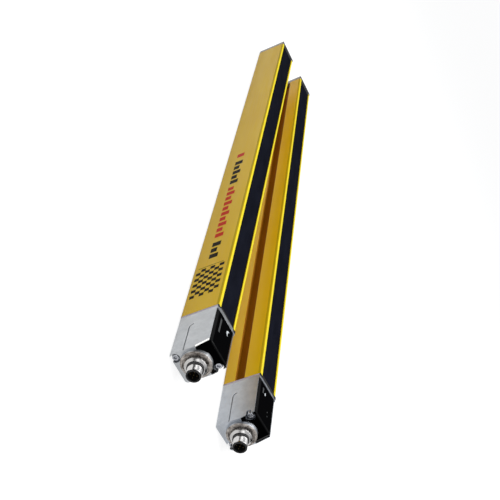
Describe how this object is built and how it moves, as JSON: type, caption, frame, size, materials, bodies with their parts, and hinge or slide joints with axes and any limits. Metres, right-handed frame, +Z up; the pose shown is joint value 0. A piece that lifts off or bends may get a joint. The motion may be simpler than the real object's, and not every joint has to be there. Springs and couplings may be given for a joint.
{
  "type": "safety light curtain",
  "caption": "Safety light curtain: a receiver and a transmitter bar in yellow extruded housings with dark windows, T-slots, grey connection caps and round end connectors.",
  "frame": {"origin": "bottom centre of the space that the two bars take up, on the surface that they lie on", "axes": "+Y along the receiver bar from its connector end to its far end, +Z up out of the windows, +X from the receiver to the transmitter"},
  "size_m": [0.1052, 0.6864, 0.0354],
  "materials": {
    "yellow_coat": "satin yellow coating on aluminium",
    "dark_screen": "glossy smoked screen",
    "seal": "matt",
    "zinc_casting": "satin grey die casting",
    "grey_gasket": "matt grey-brown",
    "black_cover": "glossy black",
    "frosted_guide": "frosted",
    "nickel_sleeve": "bright nickel plate",
    "black_insert": "matt black",
    "oring_rubber": "black",
    "steel_nut": "plated",
    "gold_contact": "gold plate",
    "steel_screw": "plated",
    "end_casting": "satin dark grey die casting",
    "black_plastic": "satin black",
    "clear_lens": "clear",
    "circuit_board": "green laminate",
    "diode": "dark clear",
    "display_block": "grey face",
    "flex_lead": "amber film",
    "spring_steel": "bright"
  },
  "bodies": {
    "root": {"receiver_board_link": "flex_lead", "receiver_cap_gasket": "grey_gasket", "receiver_connection_cap": "zinc_casting", "receiver_connection_cap_screws": "steel_screw", "receiver_connector_insert": "black_insert", "receiver_connector_nut": "steel_nut", "receiver_connector_oring": "oring_rubber", "receiver_connector_sleeve": "nickel_sleeve", "receiver_contact_board": "circuit_board", "receiver_contact_pins": "gold_contact", "receiver_control_board": "circuit_board", "receiver_cover_seal": "seal", "receiver_earth_spring": "spring_steel", "receiver_end_cap": "end_casting", "receiver_end_cap_gasket": "grey_gasket", "receiver_end_cap_screws": "steel_screw", "receiver_end_cover": "black_plastic", "receiver_front_cover": "black_cover", "receiver_front_screen": "dark_screen", "receiver_housing_profile": "yellow_coat", "receiver_lens_strip": "clear_lens", "receiver_light_guide": "frosted_guide", "receiver_optics_board_1": "circuit_board", "receiver_optics_board_2": "circuit_board", "receiver_optics_carrier": "black_plastic", "receiver_photodiodes": "diode", "receiver_screen_seal": "seal", "receiver_status_display": "display_block", "transmitter_board_link": "flex_lead", "transmitter_cap_gasket": "grey_gasket", "transmitter_connection_cap": "zinc_casting", "transmitter_connection_cap_screws": "steel_screw", "transmitter_connector_insert": "black_insert", "transmitter_connector_nut": "steel_nut", "transmitter_connector_oring": "oring_rubber", "transmitter_connector_sleeve": "nickel_sleeve", "transmitter_contact_board": "circuit_board", "transmitter_contact_pins": "gold_contact", "transmitter_control_board": "circuit_board", "transmitter_cover_seal": "seal", "transmitter_earth_spring": "spring_steel", "transmitter_emitter_diodes": "diode", "transmitter_end_cap": "end_casting", "transmitter_end_cap_gasket": "grey_gasket", "transmitter_end_cap_screws": "steel_screw", "transmitter_end_cover": "black_plastic", "transmitter_front_cover": "black_cover", "transmitter_front_screen": "dark_screen", "transmitter_housing_profile": "yellow_coat", "transmitter_lens_strip": "clear_lens", "transmitter_light_guide": "frosted_guide", "transmitter_optics_board_1": "circuit_board", "transmitter_optics_board_2": "circuit_board", "transmitter_optics_carrier": "black_plastic", "transmitter_screen_seal": "seal", "transmitter_status_display": "display_block"}
  },
  "joints": []
}
